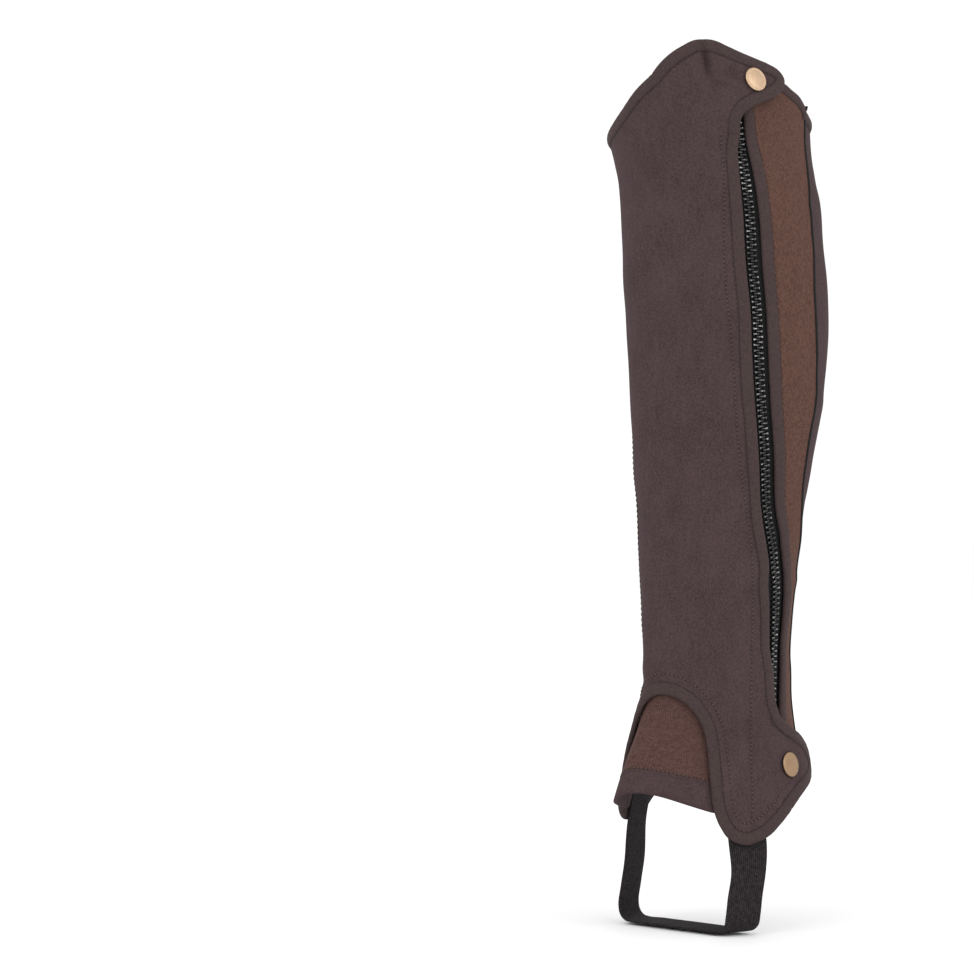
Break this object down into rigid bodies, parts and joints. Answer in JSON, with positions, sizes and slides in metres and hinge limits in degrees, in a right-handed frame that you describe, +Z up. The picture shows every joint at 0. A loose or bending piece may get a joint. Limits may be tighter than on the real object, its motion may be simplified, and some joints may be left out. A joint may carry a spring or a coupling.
{
  "type": "half chap",
  "caption": "Suede-look half chap for the left lower leg: back zip, snap tabs, inner grip patch and an elastic strap under the foot.",
  "frame": {"origin": "on the axis of the wearer's left calf, 376 mm above the ground side of the strap, where the leg holds the half chap", "axes": "+Z up the leg, -Y towards the toes, +X towards the outer side of the left leg"},
  "size_m": [0.138, 0.1563, 0.5254],
  "materials": {
    "suede": "matt brown suede-look microfibre nap",
    "stretch": "fine ribbed stretch cloth, reddish brown",
    "elastic": "dull stretch cloth",
    "binding": "smooth folded bias strip",
    "webbing": "near-black ribbed elastic webbing",
    "zip_black": "black zip tape, slider and seam cord",
    "brass": "pale antique brass, satin",
    "label": "dark shiny bare sheet"
  },
  "bodies": {
    "root": {"outer_panel": "suede", "inner_panel": "suede", "grip_patch": "suede", "instep_band": "suede", "stretch_panel": "stretch", "instep_gusset": "elastic", "top_binding": "binding", "zip_front_binding": "binding", "flap_binding": "binding", "arch_binding": "binding", "hem_binding": "binding", "stretch_hem_binding": "binding", "zip_back_binding": "binding", "stretch_top_binding": "binding", "zip_tape_front": "zip_black", "zip_tape_back": "zip_black", "zip_slider": "zip_black", "zip_pull": "zip_black", "zip_box": "zip_black", "back_seam_cord": "zip_black", "top_snap_cap": "brass", "top_snap_socket": "brass", "top_snap_stud": "brass", "top_snap_ring": "brass", "lower_snap_cap": "brass", "lower_snap_socket": "brass", "lower_snap_stud": "brass", "lower_snap_ring": "brass", "instep_strap": "webbing", "label": "label"}
  },
  "joints": []
}
